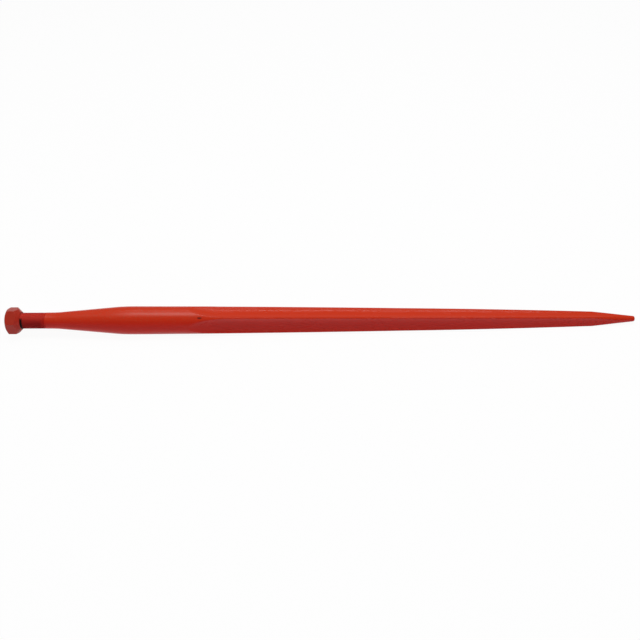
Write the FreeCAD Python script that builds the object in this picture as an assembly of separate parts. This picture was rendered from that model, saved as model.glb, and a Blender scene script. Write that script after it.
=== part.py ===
import FreeCAD, Part
import math
import os

# Bale spear: a forged tine with a threaded shank, and the nut that pulls it into its socket.
# All sizes are in millimetres. The origin lies on the tine's axis, at the small end of the
# taper that seats in the socket. +X runs to the point and +Z is up. The four ridges stand
# between the axes, so the tine lies on two of them.

# Shank and thread
shank_diameter = 28.4
thread_diameter = 28.0
thread_length = 68.0
thread_chamfer = 1.6
plain_length = 18.0          # smooth shank between the thread and the taper

# Socket taper
taper_length = 117.5
shoulder_diameter = 49.4     # where taper and body would meet if their corner were sharp
shank_blend = 9.0            # how far each blend reaches to both sides of its corner
shoulder_blend = 17.0

# Body, from the shoulder to the start of its nose, and nose, from there to the point
body_length = 482.5
nose_diameter = 40.1
body_bulge = 0.76            # how far a stretch bows out from the straight line between its ends
nose_length = 340.0
nose_bulge = 0.85

# Point
point_diameter = 25.6
point_length = 74.0
tip_diameter = 9.2
tip_rounding = 2.8

# Flutes, which leave four ridges between them
flute_count = 4
round_length = 117.0         # body that stays round, from the shoulder to the flutes
run_out_length = 66.0
ridge_width = 2.5
hollow_at_body = 3.3         # floor of a flute below a straight edge laid across two ridges
hollow_at_point = 1.3

# Nut
across_flats = 42.0
nut_height = 25.0
face_diameter = 36.0
face_chamfer_angle = 30.0
seat_diameter = 31.0
seat_angle = 45.0
countersink_depth = 0.8
thread_clearance = 0.1
nut_roll = 19.0              # one corner's angle above the horizontal, seen along +X

# Places along the axis that the sizes above give
shank_end = -(plain_length + thread_length)
thread_end = -plain_length
shoulder_x = taper_length
nose_x = shoulder_x + body_length
point_x = nose_x + nose_length
tip_x = point_x + point_length
flute_x = shoulder_x + round_length
full_flute_x = flute_x + run_out_length
nut_face_x = shank_end       # the shank ends flush with the nut
nut_seat_x = nut_face_x + nut_height


def at(x, radius):
    return FreeCAD.Vector(x, 0, radius)


def toward(start, target, distance):
    return start + (target - start).normalize() * distance


def bezier(*poles):
    curve = Part.BezierCurve()
    curve.setPoles(list(poles))
    return curve.toShape()


def bowed(start, end, bulge):
    # A parabola from start to end that stands off its chord by bulge at the middle.
    middle = (start + end) * 0.5 + FreeCAD.Vector(0, 0, 2 * bulge)
    return bezier(start, middle, end)


def revolved(edges):
    # Spins an open outline that starts and ends on the axis into a solid.
    wire = Part.Wire(edges + [Part.makeLine(edges[-1].Vertexes[-1].Point, edges[0].Vertexes[0].Point)])
    return Part.Face(wire).revolve(FreeCAD.Vector(), FreeCAD.Vector(1, 0, 0), 360)


def lines(points):
    return [Part.makeLine(a, b) for a, b in zip(points, points[1:])]


def ridge_radius(x):
    # Radius of the tine's outline anywhere between the shoulder and the point.
    if x < nose_x:
        t = (x - shoulder_x) / body_length
        ends, bulge = (shoulder_diameter, nose_diameter), body_bulge
    else:
        t = (x - nose_x) / nose_length
        ends, bulge = (nose_diameter, point_diameter), nose_bulge
    return (ends[0] * (1 - t) + ends[1] * t) / 2 + 4 * bulge * t * (1 - t)


def blank():
    # The tine before its flutes: shank, taper, body, nose and point in one outline.
    thread_radius = thread_diameter / 2
    shank_radius = shank_diameter / 2
    taper_start = at(0, shank_radius)
    shoulder = at(shoulder_x, shoulder_diameter / 2)
    nose = at(nose_x, nose_diameter / 2)
    point = at(point_x, point_diameter / 2)
    tip = at(tip_x, tip_diameter / 2)
    after_shoulder = at(shoulder_x + shoulder_blend, ridge_radius(shoulder_x + shoulder_blend))
    before_taper = toward(taper_start, at(thread_end, shank_radius), shank_blend)
    on_taper = toward(taper_start, shoulder, shank_blend)
    before_shoulder = toward(shoulder, taper_start, shoulder_blend)
    before_tip = toward(tip, point, tip_rounding)
    on_tip = toward(tip, at(tip_x, 0), tip_rounding)
    shank = lines([
        at(shank_end, 0),
        at(shank_end, thread_radius - thread_chamfer),
        at(shank_end + thread_chamfer, thread_radius),
        at(thread_end, thread_radius),
        at(thread_end, shank_radius),
        before_taper,
    ])
    taper = [
        bezier(before_taper, taper_start, on_taper),
        Part.makeLine(on_taper, before_shoulder),
        bezier(before_shoulder, shoulder, after_shoulder),
    ]
    body = [bowed(after_shoulder, nose, body_bulge), bowed(nose, point, nose_bulge)]
    end = [
        Part.makeLine(point, before_tip),
        bezier(before_tip, tip, on_tip),
        Part.makeLine(on_tip, at(tip_x, 0)),
    ]
    return revolved(shank + taper + body + end)


def flute_section(x):
    # Floor height and arc radius of a flute at x, from the ridges that it leaves on both sides.
    radius = ridge_radius(x)
    half_gap = math.pi / flute_count - math.asin(ridge_width / 2 / radius)
    share = (x - full_flute_x) / (point_x - full_flute_x)
    hollow = hollow_at_body + (hollow_at_point - hollow_at_body) * share
    half_chord = radius * math.sin(half_gap)
    floor = radius * math.cos(half_gap) - hollow
    return floor, (hollow**2 + half_chord**2) / (2 * hollow)


def run_out_section(x):
    # The same where the floor rises to the round body, which it leaves at flute_x.
    u = (x - flute_x) / run_out_length
    surface = ridge_radius(flute_x)
    full_floor, arc = flute_section(full_flute_x)
    return surface - (surface - full_floor) * (2 * u - u**2), arc


def horn(section, start, end, steps):
    # A loft of circles above the tine, whose underside is a stretch of one flute's floor.
    rings = []
    for i in range(steps + 1):
        x = start + (end - start) * i / steps
        floor, arc = section(x)
        rings.append(Part.Wire(Part.makeCircle(arc, at(x, floor + arc), FreeCAD.Vector(1, 0, 0))))
    return Part.makeLoft(rings, True)


def around_axis(shape, degrees):
    turned = shape.copy()
    turned.rotate(FreeCAD.Vector(), FreeCAD.Vector(1, 0, 0), degrees)
    return turned


def make_tine():
    before_flute = flute_x - run_out_length / 5
    past_tip = tip_x + tip_rounding
    run_out = horn(run_out_section, before_flute, full_flute_x, 6)
    flute = horn(flute_section, full_flute_x, past_tip, 8)
    tine = blank()
    for i in range(flute_count):
        for cutter in (run_out, flute):
            tine = tine.cut(around_axis(cutter, i * 360 / flute_count))
    return tine.removeSplitter()


def make_nut():
    # A hexagon, turned to a chamfered face on one side and a conical seat on the other.
    corner_radius = across_flats / math.sqrt(3)
    bore_radius = thread_diameter / 2 + thread_clearance
    sink_radius = bore_radius + countersink_depth
    chamfer = (corner_radius - face_diameter / 2) * math.tan(math.radians(face_chamfer_angle))
    seat = (corner_radius - seat_diameter / 2) * math.tan(math.radians(seat_angle))
    turned = revolved(lines([
        at(nut_face_x, 0),
        at(nut_face_x, face_diameter / 2),
        at(nut_face_x + chamfer, corner_radius),
        at(nut_seat_x - seat, corner_radius),
        at(nut_seat_x, seat_diameter / 2),
        at(nut_seat_x, 0),
    ]))
    bore = revolved(lines([
        at(nut_face_x, 0),
        at(nut_face_x, sink_radius),
        at(nut_face_x + countersink_depth, bore_radius),
        at(nut_seat_x - countersink_depth, bore_radius),
        at(nut_seat_x, sink_radius),
        at(nut_seat_x, 0),
    ]))
    corners = []
    for i in range(7):
        angle = math.radians(nut_roll + 60 * i)
        corners.append(
            FreeCAD.Vector(nut_face_x, -corner_radius * math.cos(angle), corner_radius * math.sin(angle))
        )
    hexagon = Part.Face(Part.makePolygon(corners)).extrude(FreeCAD.Vector(nut_height, 0, 0))
    return hexagon.common(turned).cut(bore)


def write(shape, name):
    shape.exportStep(os.path.join("parts", name + ".step"))
    box = shape.BoundBox
    print(name, "solids", len(shape.Solids), "valid", shape.isValid(), "volume", round(shape.Volume))
    print("  x", round(box.XMin, 2), round(box.XMax, 2), "z", round(box.ZMin, 2), round(box.ZMax, 2))


os.makedirs("parts", exist_ok=True)
write(make_tine(), "tine")
write(make_nut(), "nut")
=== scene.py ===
import math

import bpy
from mathutils import Matrix, Vector


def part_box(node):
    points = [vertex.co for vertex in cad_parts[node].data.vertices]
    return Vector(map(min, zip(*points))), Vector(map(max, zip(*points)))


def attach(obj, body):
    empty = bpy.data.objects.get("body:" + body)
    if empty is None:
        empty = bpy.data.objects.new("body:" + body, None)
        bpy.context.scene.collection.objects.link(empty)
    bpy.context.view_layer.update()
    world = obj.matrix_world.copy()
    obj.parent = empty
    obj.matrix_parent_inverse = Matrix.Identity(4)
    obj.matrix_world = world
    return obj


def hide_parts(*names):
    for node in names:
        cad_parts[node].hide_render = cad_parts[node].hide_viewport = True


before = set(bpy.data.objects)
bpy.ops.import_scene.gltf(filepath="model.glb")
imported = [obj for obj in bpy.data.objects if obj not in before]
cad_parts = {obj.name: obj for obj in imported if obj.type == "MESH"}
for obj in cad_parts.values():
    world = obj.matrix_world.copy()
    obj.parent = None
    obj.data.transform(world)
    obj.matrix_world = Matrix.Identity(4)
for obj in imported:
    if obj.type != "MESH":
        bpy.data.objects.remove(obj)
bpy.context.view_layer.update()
tineLow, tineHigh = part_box("tine")
nutLow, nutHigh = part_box("nut")
xAxis = (1, 0, 0)
weldDistance = 1e-6
fineDistance = 1e-7
print("frame loaded")


# Helpers for edit mode

def deselectAll():
    if bpy.context.mode != "OBJECT":
        bpy.ops.object.mode_set(mode="OBJECT")
    bpy.ops.object.select_all(action="DESELECT")


def editOnly(piece):
    deselectAll()
    piece.select_set(True)
    bpy.context.view_layer.objects.active = piece
    bpy.ops.object.mode_set(mode="EDIT")


def applyAll(piece):
    deselectAll()
    piece.select_set(True)
    bpy.context.view_layer.objects.active = piece
    for modifier in list(piece.modifiers):
        bpy.ops.object.modifier_apply(modifier=modifier.name)


def closeUp(piece, distance=weldDistance):
    editOnly(piece)
    bpy.ops.mesh.select_all(action="SELECT")
    bpy.ops.mesh.remove_doubles(threshold=distance)
    bpy.ops.mesh.normals_make_consistent(inside=False)
    bpy.ops.object.mode_set(mode="OBJECT")


def drawOutline(name, points):
    # a chain of edges in the X-Z plane, one vertex extruded from point to point
    deselectAll()
    bpy.ops.mesh.primitive_plane_add(size=0.001, location=(0, 0, 0))
    chain = bpy.context.active_object
    chain.name = name
    chain.data.name = name
    bpy.ops.object.mode_set(mode="EDIT")
    bpy.ops.mesh.merge(type="CENTER")
    bpy.ops.transform.translate(value=(points[0][0], 0, points[0][1]))
    for (x, z), (nextX, nextZ) in zip(points, points[1:]):
        step = {"value": (nextX - x, 0, nextZ - z)}
        bpy.ops.mesh.extrude_region_move(TRANSFORM_OT_translate=step)
    bpy.ops.object.mode_set(mode="OBJECT")
    return chain


def spinOutline(name, points, steps):
    spun = drawOutline(name, points)
    editOnly(spun)
    bpy.ops.mesh.select_all(action="SELECT")
    bpy.ops.mesh.spin(steps=steps, angle=2 * math.pi, center=(0, 0, 0), axis=xAxis)
    bpy.ops.object.mode_set(mode="OBJECT")
    closeUp(spun)
    return spun


# Tine

tineSizes = {
    "shankRadius": 0.0142,
    "plainLength": 0.018,
    "taperLength": 0.1175,
    "shoulderRadius": 0.0247,
    "shankBlend": 0.009,
    "shoulderBlend": 0.017,
    "bodyLength": 0.4825,
    "noseRadius": 0.02005,
    "bodyBulge": 0.00076,
    "noseLength": 0.340,
    "noseBulge": 0.00085,
    "pointRadius": 0.0128,
    "tipRadius": 0.0046,
    "tipRounding": 0.0028,
    "roundLength": 0.117,
    "runOutLength": 0.066,
    "ridgeWidth": 0.0025,
    "hollowAtBody": 0.0033,
    "hollowAtPoint": 0.0013,
    "ridgeSoftness": 0.0006,
    "shankEdge": 0.0003,
    "roundSteps": 192,
    "blendSteps": 10,
    "shoulderSteps": 12,
    "tipSteps": 8,
    "shankSpacing": 0.003,
    "ringSpacing": 0.005,
    "fineSpacing": 0.0016,
    "fineLead": 0.004,
    "fluteLead": 0.012,
    "ridgeGathering": 0.5,
    "smoothAngle": math.radians(38),
}
threadSizes = {
    "radius": 0.0140,
    "pitch": 0.0015,
    "depth": 0.00092,
    "crest": 0.00022,
    "root": 0.00030,
    "chamferRadius": 0.0124,
    "overlap": 0.001,
    "steps": 72,
}


def quadratic(start, corner, end, count):
    # points of a parabola that leaves start and reaches end along the lines to corner
    points = []
    for i in range(1, count + 1):
        t = i / count
        points.append(tuple(
            a * (1 - t) ** 2 + 2 * b * t * (1 - t) + c * t**2
            for a, b, c in zip(start, corner, end)
        ))
    return points


def towards(start, target, distance):
    span = math.dist(start, target)
    return tuple(a + (b - a) * distance / span for a, b in zip(start, target))


def bulged(start, end, bulge, share):
    return start * (1 - share) + end * share + 4 * bulge * share * (1 - share)


def ridgeRadius(x):
    s = tineSizes
    noseX = s["taperLength"] + s["bodyLength"]
    if x < noseX:
        share = (x - s["taperLength"]) / s["bodyLength"]
        return bulged(s["shoulderRadius"], s["noseRadius"], s["bodyBulge"], share)
    share = (x - noseX) / s["noseLength"]
    return bulged(s["noseRadius"], s["pointRadius"], s["noseBulge"], share)


def stretch(start, end, spacing):
    count = max(1, math.ceil((end - start) / spacing))
    return [start + (end - start) * i / count for i in range(1, count + 1)]


def fluteEnds():
    # where the flutes start, where they are at full depth, and where the round point starts
    s = tineSizes
    fluteX = s["taperLength"] + s["roundLength"]
    pointX = s["taperLength"] + s["bodyLength"] + s["noseLength"]
    return fluteX, fluteX + s["runOutLength"], pointX


def tineOutline():
    s = tineSizes
    fluteX, fullX, pointX = fluteEnds()
    tipX = tineHigh.x
    shankX = -s["plainLength"]
    edgeX = shankX + s["shankEdge"]
    shankStart = (shankX, s["shankRadius"])
    taperStart = (0, s["shankRadius"])
    shoulder = (s["taperLength"], s["shoulderRadius"])
    point = (pointX, s["pointRadius"])
    tip = (tipX, s["tipRadius"])
    afterShoulder = s["taperLength"] + s["shoulderBlend"]
    points = [(shankX, 0), (shankX, s["shankRadius"] - s["shankEdge"])]
    points.append((edgeX, s["shankRadius"]))
    before = towards(taperStart, shankStart, s["shankBlend"])
    points += [(x, s["shankRadius"]) for x in stretch(edgeX, before[0], s["shankSpacing"])]
    onTaper = towards(taperStart, shoulder, s["shankBlend"])
    points += quadratic(before, taperStart, onTaper, s["blendSteps"])
    beforeShoulder = towards(shoulder, taperStart, s["shoulderBlend"])
    for x in stretch(onTaper[0], beforeShoulder[0], s["ringSpacing"]):
        share = x / s["taperLength"]
        points.append((x, s["shankRadius"] * (1 - share) + s["shoulderRadius"] * share))
    onBody = (afterShoulder, ridgeRadius(afterShoulder))
    points += quadratic(beforeShoulder, shoulder, onBody, s["shoulderSteps"])
    for start, end, spacing in (
        (afterShoulder, fluteX - s["fineLead"], s["ringSpacing"]),
        (fluteX - s["fineLead"], fullX, s["fineSpacing"]),
        (fullX, pointX, s["ringSpacing"]),
    ):
        points += [(x, ridgeRadius(x)) for x in stretch(start, end, spacing)]
    beforeTip = towards(tip, point, s["tipRounding"])
    for x in stretch(pointX, beforeTip[0], s["fineSpacing"]):
        share = (x - pointX) / (tipX - pointX)
        points.append((x, s["pointRadius"] + (s["tipRadius"] - s["pointRadius"]) * share))
    onTip = (tipX, s["tipRadius"] - s["tipRounding"])
    points += quadratic(beforeTip, tip, onTip, s["tipSteps"])
    points.append((tipX, 0))
    return points


def fluteFloor(x):
    # where a flute's circle of radius arc has its floor, and how the floor rises in the run-out
    s = tineSizes
    fluteX, fullX, pointX = fluteEnds()
    place = max(x, fullX)
    radius = ridgeRadius(place)
    halfGap = math.pi / 4 - math.asin(s["ridgeWidth"] / 2 / radius)
    share = (place - fullX) / (pointX - fullX)
    hollow = s["hollowAtBody"] + (s["hollowAtPoint"] - s["hollowAtBody"]) * share
    floor = radius * math.cos(halfGap) - hollow
    arc = (hollow**2 + (radius * math.sin(halfGap)) ** 2) / (2 * hollow)
    if x < fullX:
        u = (x - fluteX) / s["runOutLength"]
        surface = ridgeRadius(fluteX)
        floor = surface - (surface - floor) * (2 * u - u**2)
    return floor, arc


def softMinimum(a, b, width):
    h = min(1, max(0, 0.5 + 0.5 * (b - a) / width))
    return b * (1 - h) + a * h - width * h * (1 - h)


def pressFlutes(piece):
    # draws the mesh together at the four ridges, then presses the flutes in between them
    s = tineSizes
    startX = fluteEnds()[0] - s["fluteLead"]
    for vertex in piece.data.vertices:
        x, y, z = vertex.co
        radius = math.hypot(y, z)
        if radius < weldDistance:
            continue
        turn = math.atan2(z, y)
        turn += s["ridgeGathering"] * math.sin(4 * turn) / 4
        if x > startX:
            floor, arc = fluteFloor(x)
            away = math.remainder(turn, math.pi / 2)
            middle = floor + arc
            inside = arc**2 - (middle * math.sin(away)) ** 2
            fluteRadius = middle * math.cos(away) - math.sqrt(inside) if inside > 0 else 1
            radius = softMinimum(radius, fluteRadius, s["ridgeSoftness"])
        vertex.co = (x, radius * math.cos(turn), radius * math.sin(turn))


def makeThread():
    # one turn's section, screwed along the shank and cut off square at both ends
    s = threadSizes
    rootRadius = s["radius"] - s["depth"]
    flank = (s["pitch"] - s["crest"] - s["root"]) / 2
    start = tineLow.x - 2 * s["pitch"]
    end = -tineSizes["plainLength"] + s["overlap"]
    section = [
        (start, rootRadius),
        (start + s["root"], rootRadius),
        (start + s["root"] + flank, s["radius"]),
        (start + s["root"] + flank + s["crest"], s["radius"]),
        (start + s["pitch"], rootRadius),
    ]
    rod = drawOutline("threadRod", section)
    screw = rod.modifiers.new("turns", "SCREW")
    screw.axis = "X"
    screw.angle = 2 * math.pi
    screw.screw_offset = s["pitch"]
    screw.iterations = math.ceil((end - start) / s["pitch"]) + 1
    screw.steps = screw.render_steps = s["steps"]
    screw.use_merge_vertices = True
    screw.merge_threshold = weldDistance
    applyAll(rod)
    for plane, keepAbove in ((tineLow.x, True), (end, False)):
        editOnly(rod)
        bpy.ops.mesh.select_all(action="SELECT")
        bpy.ops.mesh.bisect(
            plane_co=(plane, 0, 0), plane_no=xAxis, use_fill=True,
            clear_inner=keepAbove, clear_outer=not keepAbove, threshold=fineDistance,
        )
        bpy.ops.object.mode_set(mode="OBJECT")
    for vertex in rod.data.vertices:
        x, y, z = vertex.co
        radius = math.hypot(y, z)
        limit = s["chamferRadius"] + x - tineLow.x
        if radius > limit:
            vertex.co = (x, y * limit / radius, z * limit / radius)
    closeUp(rod, fineDistance)
    return rod


def makeTine():
    tine = spinOutline("tineForging", tineOutline(), tineSizes["roundSteps"])
    pressFlutes(tine)
    rod = makeThread()
    deselectAll()
    rod.select_set(True)
    tine.select_set(True)
    bpy.context.view_layer.objects.active = tine
    bpy.ops.object.join()
    bpy.ops.object.shade_smooth_by_angle(angle=tineSizes["smoothAngle"])
    return tine


# Nut

nutSizes = {
    "acrossFlats": 0.042,
    "faceRadius": 0.018,
    "chamferSlope": math.tan(math.radians(30)),
    "seatRadius": 0.0155,
    "boreRadius": 0.0141,
    "countersink": 0.0008,
    "roll": math.radians(19),
    "cutMargin": 1e-4,
    "boreMargin": 0.001,
    "edgeWidth": 0.00045,
    "edgeSegments": 3,
    "edgeAngle": math.radians(22),
    "flatWeight": 100,
    "turnedSteps": 180,
}


def booleanWith(piece, other, operation):
    modifier = piece.modifiers.new(operation, "BOOLEAN")
    modifier.operation = operation
    modifier.object = other
    modifier.solver = "EXACT"
    applyAll(piece)
    bpy.data.objects.remove(other)


def makeNut():
    s = nutSizes
    corner = s["acrossFlats"] / math.sqrt(3)
    face, seat = nutLow.x, nutHigh.x
    deselectAll()
    bpy.ops.mesh.primitive_cylinder_add(
        vertices=6, radius=corner, depth=seat - face, location=((face + seat) / 2, 0, 0),
        rotation=(0, math.pi / 2, 0),
    )
    nut = bpy.context.active_object
    nut.name = "hexNut"
    nut.data.name = "hexNut"
    bpy.ops.object.transform_apply(location=True, rotation=True, scale=True)
    first = nut.data.vertices[0].co
    turn = math.atan2(math.sin(s["roll"]), -math.cos(s["roll"])) - math.atan2(first.z, first.y)
    nut.rotation_euler = (turn, 0, 0)
    bpy.ops.object.transform_apply(location=True, rotation=True, scale=True)
    margin = s["cutMargin"]
    chamferDepth = (corner - s["faceRadius"]) * s["chamferSlope"]
    coneDepth = corner - s["seatRadius"]
    turned = spinOutline("turnedBlank", [
        (face, 0),
        (face, s["faceRadius"]),
        (face + chamferDepth + margin, corner + margin / s["chamferSlope"]),
        (seat - coneDepth - margin, corner + margin),
        (seat, s["seatRadius"]),
        (seat, 0),
    ], s["turnedSteps"])
    booleanWith(nut, turned, "INTERSECT")
    beyond = s["boreMargin"]
    wide = s["boreRadius"] + s["countersink"] + beyond
    bore = spinOutline("boreCutter", [
        (face - beyond, 0),
        (face - beyond, wide),
        (face + s["countersink"], s["boreRadius"]),
        (seat - s["countersink"], s["boreRadius"]),
        (seat + beyond, wide),
        (seat + beyond, 0),
    ], s["turnedSteps"])
    booleanWith(nut, bore, "DIFFERENCE")
    closeUp(nut, 2 * weldDistance)
    bevel = nut.modifiers.new("paintedEdges", "BEVEL")
    bevel.width = s["edgeWidth"]
    bevel.segments = s["edgeSegments"]
    bevel.limit_method = "ANGLE"
    bevel.angle_limit = s["edgeAngle"]
    applyAll(nut)
    bpy.ops.object.shade_smooth()
    weighted = nut.modifiers.new("flatFaces", "WEIGHTED_NORMAL")
    weighted.weight = s["flatWeight"]
    applyAll(nut)
    return nut


# Paint

class Paint:
    # wraps one output socket, so that shader maths reads as plain sums
    def __init__(self, nodes, socket):
        self.nodes = nodes
        self.socket = socket

    def math(self, operation, other=None, flip=False):
        inputs = [self] if other is None else [self, other]
        if flip:
            inputs.reverse()
        return self.nodes.add("ShaderNodeMath", {"operation": operation}, dict(enumerate(inputs)))

    def __add__(self, other):
        return self.math("ADD", other)

    def __radd__(self, other):
        return self.math("ADD", other)

    def __sub__(self, other):
        return self.math("SUBTRACT", other)

    def __rsub__(self, other):
        return self.math("SUBTRACT", other, flip=True)

    def __mul__(self, other):
        return self.math("MULTIPLY", other)

    def __rmul__(self, other):
        return self.math("MULTIPLY", other)


class Nodes:
    def __init__(self, tree):
        self.tree = tree
        self.tree.nodes.clear()

    def add(self, kind, settings, inputs, output=0):
        # settings are set first, then each input gets its value or its link
        node = self.tree.nodes.new(kind)
        for name, value in settings.items():
            setattr(node, name, value)
        for name, value in inputs.items():
            socket = node.inputs[name]
            if isinstance(value, Paint):
                self.tree.links.new(value.socket, socket)
            else:
                socket.default_value = value
        if node.outputs:
            return Paint(self, node.outputs[output])

    def part(self, vector, axis):
        return self.add("ShaderNodeSeparateXYZ", {}, {0: vector}, axis)

    def noise(self, vector, scale, detail):
        inputs = {"Vector": vector, "Scale": scale, "Detail": detail}
        return self.add("ShaderNodeTexNoise", {}, inputs)

    def smooth(self, value, low, high):
        return self.add(
            "ShaderNodeMapRange", {"interpolation_type": "SMOOTHSTEP"},
            {"Value": value, "From Min": low, "From Max": high},
        )

    def mix(self, factor, first, second):
        return self.add(
            "ShaderNodeMix", {"data_type": "RGBA"}, {0: factor, 6: first, 7: second}, 2
        )


def newMaterial(name):
    material = bpy.data.materials.new(name)
    material.use_nodes = True
    return material


paintValues = {
    # painted light: a lit orange tone for upward faces and a shaded crimson tone for downward
    # faces
    "litUpper": (0.62, 0.034, 0.006, 1),
    "shadedLower": (0.58, 0.010, 0.002, 1),
    # painted light: the thread's lit tone on upward faces and shaded tone on downward faces
    "threadLit": (0.72, 0.048, 0.028, 1),
    "threadShaded": (0.36, 0.010, 0.009, 1),
    # painted light: the nut's lit tone for upward faces and shaded tone for downward faces
    "nutLit": (0.42, 0.028, 0.012, 1),
    "nutShaded": (0.44, 0.018, 0.008, 1),
    # near-black used for the painted shade at the ridge starts and the painted shadow beside the
    # nut
    "shadeDark": (0.012, 0.003, 0.003, 1),
    # pale tan for dust flecks that also paint in the highlight on the upper round body
    "dustAndSheen": (0.46, 0.085, 0.045, 1),
    "lowSide": 0.1,
    "highSide": 0.95,
    "bodyRoughness": 0.29,
    "fluteRoughness": 0.20,
    "threadRoughness": 0.60,
    "cloudRoughness": 0.1,
    "specularLevel": 0.22,
    "grain": (0.25, 1, 1),
    "cloudScale": 60,
    "speckleScale": 420,
    "forgedScale": 150,
    "bumpStrength": 0.25,
    "bumpDepth": 0.0006,
    "forgedShare": 0.7,
    "speckleShare": 0.3,
    "fluteStart": 0.235,
    "fluteFull": 0.30,
    "threadFull": -0.030,
    "threadStop": -0.012,
    "cloudLevels": (0.4, 0.7),
    "fleckLevels": (0.5, 0.68),
    "fleckShare": 0.35,
    # painted shade: a dark spot where each ridge starts
    "ridgeShadePlace": 0.2535,
    "ridgeShadeCore": (0.001, 0.0008),
    "ridgeShadeReach": (0.0055, 0.0034),
    "ridgeShadeShare": 0.8,
    # painted shadow of the nut on the lower side of the thread
    "nutShadowFrom": (-0.004, -0.002),
    "nutShadowTo": (0.0026, 0.0046),
    "nutShadowUpTo": (0.0085, 0.0120),
}


def bodyPaint(nodes, place, litSideShare, speckle, roughness):
    # colour and roughness along the tine, from the thread to the flutes
    s = paintValues
    x, y, z = (nodes.part(place, axis) for axis in range(3))
    # painted light: upward faces take the lit tone, downward faces the shaded tone
    colour = nodes.mix(litSideShare, s["shadedLower"], s["litUpper"])
    fluted = nodes.smooth(x, s["fluteStart"], s["fluteFull"])
    roughness = roughness + fluted * (s["fluteRoughness"] - s["bodyRoughness"])
    thread = 1 - nodes.smooth(x, s["threadFull"], s["threadStop"])
    # painted light: the thread is painted lit on its upper side and in shade on its lower side
    threadColour = nodes.mix(litSideShare, s["threadShaded"], s["threadLit"])
    colour = nodes.mix(thread, colour, threadColour)
    roughness = roughness + thread * (s["threadRoughness"] - s["bodyRoughness"])
    # forging scale dulls the paint in flecks on the upper side of the round body, in a pale tan
    # that is partly dust and partly a painted highlight
    flecks = nodes.smooth(speckle, *s["fleckLevels"]) * litSideShare * (1 - fluted) * s["fleckShare"]
    colour = nodes.mix(flecks, colour, s["dustAndSheen"])
    # a painted dark spot of shade where each ridge starts
    alongRidge = (x - s["ridgeShadePlace"]).math("ABSOLUTE")
    offRidge = (y.math("ABSOLUTE") - z.math("ABSOLUTE")).math("ABSOLUTE")
    ridgeStartShade = (1 - nodes.smooth(offRidge, s["ridgeShadeCore"][1], s["ridgeShadeReach"][1])) * (
        1 - nodes.smooth(alongRidge, s["ridgeShadeCore"][0], s["ridgeShadeReach"][0]))
    colour = nodes.mix(ridgeStartShade * s["ridgeShadeShare"], colour, s["shadeDark"])
    # a painted shadow of the nut on the lower side of the thread beside the nut's inner face
    fromNut = x - nutHigh.x
    nutShadow = (1 - nodes.smooth(fromNut, *s["nutShadowTo"])) * (1 - nodes.smooth(z, *s["nutShadowUpTo"]))
    nutShadow = nutShadow * nodes.smooth(fromNut, *s["nutShadowFrom"])
    return nodes.mix(nutShadow, colour, s["shadeDark"]), roughness


def makePaint(name, onNut):
    s = paintValues
    material = newMaterial(name)
    nodes = Nodes(material.node_tree)
    place = nodes.add("ShaderNodeTexCoord", {}, {}, "Object")
    facing = nodes.add("ShaderNodeTexCoord", {}, {}, "Normal")
    # how far a face points up, used to paint light and shade into the colour
    litSideShare = nodes.smooth(nodes.part(facing, 2), s["lowSide"], s["highSide"])
    stretched = nodes.add("ShaderNodeMapping", {}, {"Vector": place, "Scale": s["grain"]})
    cloud = nodes.noise(stretched, s["cloudScale"], 3)
    speckle = nodes.noise(place, s["speckleScale"], 2)
    forged = nodes.noise(stretched, s["forgedScale"], 2)
    cloudy = nodes.smooth(cloud, *s["cloudLevels"])
    roughness = s["bodyRoughness"] + s["cloudRoughness"] * cloudy
    if onNut:
        # painted light: upward nut faces take the lit tone, downward ones the shaded tone
        colour = nodes.mix(litSideShare, s["nutShaded"], s["nutLit"])
    else:
        colour, roughness = bodyPaint(nodes, place, litSideShare, speckle, roughness)
    normal = nodes.add("ShaderNodeBump", {}, {
        "Strength": s["bumpStrength"],
        "Distance": s["bumpDepth"],
        "Height": forged * s["forgedShare"] + speckle * s["speckleShare"],
    })
    shader = nodes.add("ShaderNodeBsdfPrincipled", {}, {
        "Base Color": colour,
        "Roughness": roughness,
        "Specular IOR Level": s["specularLevel"],
        "Normal": normal,
    })
    nodes.add("ShaderNodeOutputMaterial", {}, {"Surface": shader})
    return material


def dress(piece, material):
    piece.data.materials.clear()
    piece.data.materials.append(material)


tine = makeTine()
dress(tine, makePaint("tinePaint", False))
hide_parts("tine")
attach(tine, "root")
print("tine made")
nut = makeNut()
dress(nut, makePaint("nutPaint", True))
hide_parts("nut")
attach(nut, "root")
print("nut made")


# Floor, light and camera

studio = {
    "floorSize": 16,
    "floorColour": (0.9, 0.9, 0.9, 1),
    "floorWhite": 0.95,
    "floorGap": 0.0001,
    "noseFromShoulder": 0.3,
    "surroundings": 0.24,
    "softboxes": (
        {"size": (2.4, 1.3), "place": (0.46, 0.0, 3.0), "glow": 6.2},
        {"size": (2.4, 0.2), "place": (0.46, 1.5, 2.4), "glow": 6.0},
    ),
    "cameraDistance": 1.476,
    "cameraElevation": math.radians(37),
    "cameraRoll": math.radians(-0.19),
    "cameraTarget": (0.4621, 0, -0.0007),
    "viewWidth": 1.1245,
    "sensorWidth": 36,
}


def seenDirectly(nodes):
    # 1 for camera, mirror and glass rays, which see the floor as white paper
    seen = nodes.add("ShaderNodeLightPath", {}, {}, "Is Camera Ray")
    for kind in ("Is Glossy Ray", "Is Transmission Ray"):
        seen = seen.math("MAXIMUM", nodes.add("ShaderNodeLightPath", {}, {}, kind))
    return seen


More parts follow.
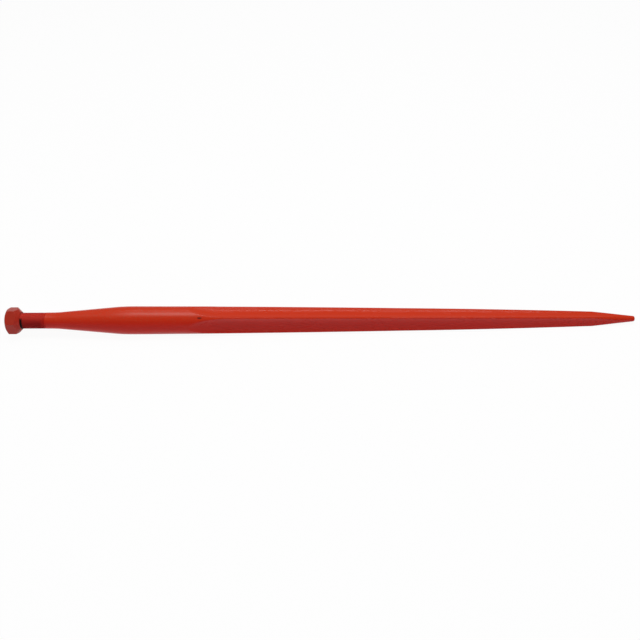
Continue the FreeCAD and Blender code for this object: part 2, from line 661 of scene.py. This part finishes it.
def makeFloor():
    s = studio
    deselectAll()
    bpy.ops.mesh.primitive_grid_add(x_subdivisions=4, y_subdivisions=4, size=s["floorSize"])
    floor = bpy.context.active_object
    floor.name = "floor"
    # the tine lies on its shoulder and two ridges, so the floor leans with it
    lowest = min(tine.data.vertices, key=lambda v: v.co.z).co
    nose = [v.co for v in tine.data.vertices if v.co.x > lowest.x + s["noseFromShoulder"]]
    lean = min(math.atan2(c.z - lowest.z, c.x - lowest.x) for c in nose)
    floor.location = (lowest.x, 0, lowest.z - s["floorGap"])
    floor.rotation_euler = (0, -lean, 0)
    material = newMaterial("floorPaper")
    nodes = Nodes(material.node_tree)
    paper = nodes.add("ShaderNodeBsdfDiffuse", {}, {"Color": s["floorColour"]})
    white = nodes.add("ShaderNodeEmission", {}, {"Color": (1, 1, 1, 1), "Strength": 1})
    share = seenDirectly(nodes) * s["floorWhite"]
    shown = nodes.add("ShaderNodeMixShader", {}, {0: share, 1: paper, 2: white})
    nodes.add("ShaderNodeOutputMaterial", {}, {"Surface": shown})
    dress(floor, material)
    print("floor leans", round(math.degrees(lean), 2), "degrees")


def makeWorld():
    world = bpy.data.worlds.new("studio")
    bpy.context.scene.world = world
    world.use_nodes = True
    nodes = Nodes(world.node_tree)
    glow = {"Color": (1, 1, 1, 1), "Strength": studio["surroundings"]}
    background = nodes.add("ShaderNodeBackground", {}, glow)
    nodes.add("ShaderNodeOutputWorld", {}, {"Surface": background})


def makeSoftbox(box):
    data = bpy.data.lights.new("softbox", "AREA")
    data.shape = "RECTANGLE"
    data.size, data.size_y = box["size"]
    data.energy = box["glow"] * math.pi * data.size * data.size_y
    lamp = bpy.data.objects.new("softbox", data)
    bpy.context.collection.objects.link(lamp)
    lamp.location = box["place"]
    aim = Vector((box["place"][0], 0, 0)) - lamp.location
    lamp.rotation_euler = aim.to_track_quat("-Z", "Y").to_euler()


def makeCamera():
    s = studio
    data = bpy.data.cameras.new("camera")
    data.sensor_width = s["sensorWidth"]
    data.lens = s["sensorWidth"] * s["cameraDistance"] / s["viewWidth"]
    camera = bpy.data.objects.new("camera", data)
    bpy.context.collection.objects.link(camera)
    elevation = s["cameraElevation"]
    back = Vector((0, -math.cos(elevation), math.sin(elevation)))
    camera.location = Vector(s["cameraTarget"]) + back * s["cameraDistance"]
    look = (-back).to_track_quat("-Z", "Y").to_matrix().to_4x4()
    camera.rotation_euler = (look @ Matrix.Rotation(s["cameraRoll"], 4, "Z")).to_euler()
    bpy.context.scene.camera = camera


makeFloor()
makeWorld()
for box in studio["softboxes"]:
    makeSoftbox(box)
makeCamera()
bpy.context.scene.view_settings.view_transform = "Standard"
print("studio made")
